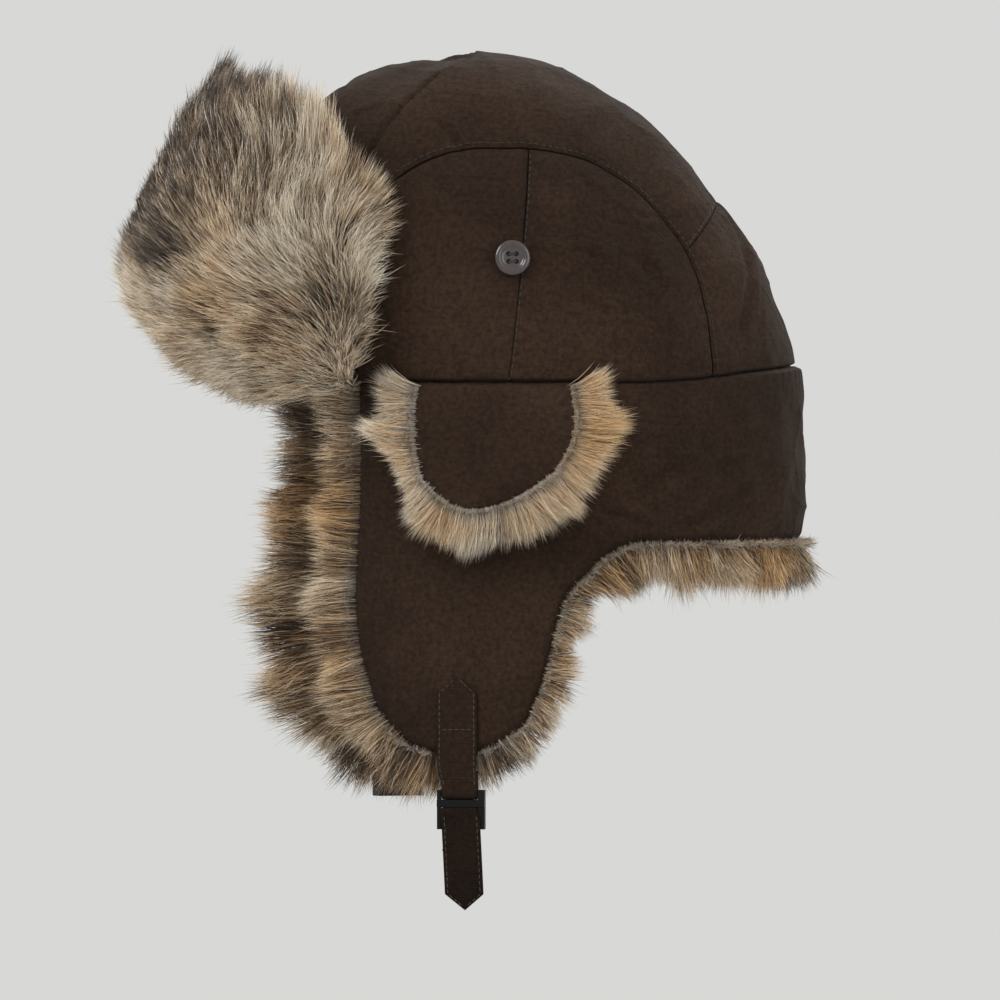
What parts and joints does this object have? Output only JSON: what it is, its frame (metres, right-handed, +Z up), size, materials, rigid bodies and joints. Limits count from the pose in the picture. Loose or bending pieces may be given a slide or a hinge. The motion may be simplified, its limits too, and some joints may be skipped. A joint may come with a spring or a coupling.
{
  "type": "trapper hat",
  "caption": "Padded winter hat with fur-lined ear flaps, turned-up front flap, neck curtain, ear covers that button up and a buckled chin strap.",
  "frame": {"origin": "centre of the head opening, in the plane of the seam where the crown meets the skirt", "axes": "+Z up through the crown, -Y the way the face looks, +X to the wearer's left"},
  "size_m": [0.2156, 0.3423, 0.429],
  "materials": {
    "shell_fabric": "matt close-woven nylon",
    "rabbit_fur": "long-haired pelt, mottled grey, tan and dark brown",
    "wadding": "loose polyester fibre",
    "lining_fabric": "smooth quilted taffeta",
    "strap_fabric": "folded and edge-stitched shell cloth",
    "button_plastic": "polished",
    "buckle_plastic": "moulded, low sheen",
    "sewing_thread": "twisted polyester",
    "elastic_cord": "braided"
  },
  "bodies": {
    "crown": {"crown_back_panel": "shell_fabric", "crown_lining": "lining_fabric", "crown_top_panel": "shell_fabric", "crown_wadding": "wadding", "left_button": "button_plastic", "left_button_thread": "sewing_thread", "left_crown_side_lining": "lining_fabric", "left_crown_side_wadding": "wadding", "left_side_curtain_fur": "rabbit_fur", "left_side_curtain_shell": "shell_fabric", "left_side_curtain_wadding": "wadding", "left_side_front_panel": "shell_fabric", "left_side_rear_panel": "shell_fabric", "right_button": "button_plastic", "right_button_thread": "sewing_thread", "right_crown_side_lining": "lining_fabric", "right_crown_side_wadding": "wadding", "right_side_curtain_fur": "rabbit_fur", "right_side_curtain_shell": "shell_fabric", "right_side_curtain_wadding": "wadding", "right_side_front_panel": "shell_fabric", "right_side_rear_panel": "shell_fabric", "sweat_band": "lining_fabric"},
    "front_flap": {"front_flap_fur": "rabbit_fur", "front_flap_shell": "shell_fabric", "front_flap_wadding": "wadding"},
    "neck_curtain": {"neck_curtain_fur": "rabbit_fur", "neck_curtain_shell": "shell_fabric", "neck_curtain_wadding": "wadding"},
    "left_ear_flap": {"left_ear_flap_fur": "rabbit_fur", "left_ear_flap_shell": "shell_fabric", "left_ear_flap_wadding": "wadding", "left_strap_tab": "strap_fabric"},
    "left_ear_cover": {"left_button_loop": "elastic_cord", "left_ear_cover_fur": "rabbit_fur", "left_ear_cover_shell": "shell_fabric"},
    "left_strap": {"left_strap": "strap_fabric"},
    "left_buckle": {"left_buckle_plug": "buckle_plastic", "left_strap_turn": "strap_fabric"},
    "right_ear_flap": {"right_ear_flap_fur": "rabbit_fur", "right_ear_flap_shell": "shell_fabric", "right_ear_flap_wadding": "wadding", "right_strap_tab": "strap_fabric"},
    "right_ear_cover": {"right_button_loop": "elastic_cord", "right_ear_cover_fur": "rabbit_fur", "right_ear_cover_shell": "shell_fabric"},
    "right_strap": {"right_strap": "strap_fabric"},
    "right_buckle": {"right_buckle_socket": "buckle_plastic"},
    "left_strap_tail": {"left_strap_tail": "strap_fabric"},
    "left_front_prong": {"left_buckle_front_prong": "buckle_plastic"},
    "left_rear_prong": {"left_buckle_rear_prong": "buckle_plastic"}
  },
  "joints": [
    {"name": "front_flap_fold", "type": "hinge", "parent": "crown", "child": "front_flap", "pos_m": [0, -0.114, 0.001], "axis": [1, 0, 0], "range_deg": [0, 75]},
    {"name": "neck_curtain_fold", "type": "hinge", "parent": "crown", "child": "neck_curtain", "pos_m": [0, 0.1312, -0.0005], "axis": [1, 0, 0], "range_deg": [0, 145]},
    {"name": "left_ear_flap_fold", "type": "hinge", "parent": "crown", "child": "left_ear_flap", "pos_m": [0.09, -0.059, -0.0005], "axis": [-0.3048, -0.9524, 0], "range_deg": [0, 125]},
    {"name": "left_ear_cover_fold", "type": "hinge", "parent": "left_ear_flap", "child": "left_ear_cover", "pos_m": [0.095, -0.0405, -0.0012], "axis": [0.1867, 0.9824, 0], "range_deg": [-155, 0]},
    {"name": "right_ear_flap_fold", "type": "hinge", "parent": "crown", "child": "right_ear_flap", "pos_m": [-0.09, -0.059, -0.0005], "axis": [-0.3048, 0.9524, 0], "range_deg": [0, 125]},
    {"name": "right_ear_cover_fold", "type": "hinge", "parent": "right_ear_flap", "child": "right_ear_cover", "pos_m": [-0.095, -0.0405, -0.0012], "axis": [0.1867, -0.9824, 0], "range_deg": [-155, 0]},
    {"name": "left_strap_swing", "type": "hinge", "parent": "left_ear_flap", "child": "left_strap", "pos_m": [0.09191, -0.05719, -0.1868], "axis": [-0.289, -0.9573, 0], "range_deg": [0, 80]},
    {"name": "left_buckle_swing", "type": "hinge", "parent": "left_strap", "child": "left_buckle", "pos_m": [0.08875, -0.05624, -0.204], "axis": [-0.289, -0.9573, 0], "range_deg": [-15, 60]},
    {"name": "left_strap_tail_swing", "type": "hinge", "parent": "left_buckle", "child": "left_strap_tail", "pos_m": [0.09297, -0.05751, -0.2136], "axis": [-0.289, -0.9573, 0], "range_deg": [0, 55]},
    {"name": "left_front_prong_squeeze", "type": "hinge", "parent": "left_buckle", "child": "left_front_prong", "pos_m": [0.08782, -0.06071, -0.22215], "axis": [0.9573, -0.289, 0], "range_deg": [0, 7], "stiffness_Nm_per_rad": 0.02},
    {"name": "left_rear_prong_squeeze", "type": "hinge", "parent": "left_buckle", "child": "left_rear_prong", "pos_m": [0.09164, -0.04807, -0.22215], "axis": [0.9573, -0.289, 0], "range_deg": [-7, 0], "stiffness_Nm_per_rad": 0.02},
    {"name": "right_strap_swing", "type": "hinge", "parent": "right_ear_flap", "child": "right_strap", "pos_m": [-0.09708, -0.05875, -0.1668], "axis": [-0.289, 0.9573, 0], "range_deg": [0, 80]},
    {"name": "right_buckle_swing", "type": "hinge", "parent": "right_strap", "child": "right_buckle", "pos_m": [-0.09392, -0.0578, -0.186], "axis": [-0.289, 0.9573, 0], "range_deg": [0, 75]}
  ],
  "couplings": [
    {"joint": "left_rear_prong_squeeze", "follows": "left_front_prong_squeeze", "ratio": -1}
  ]
}
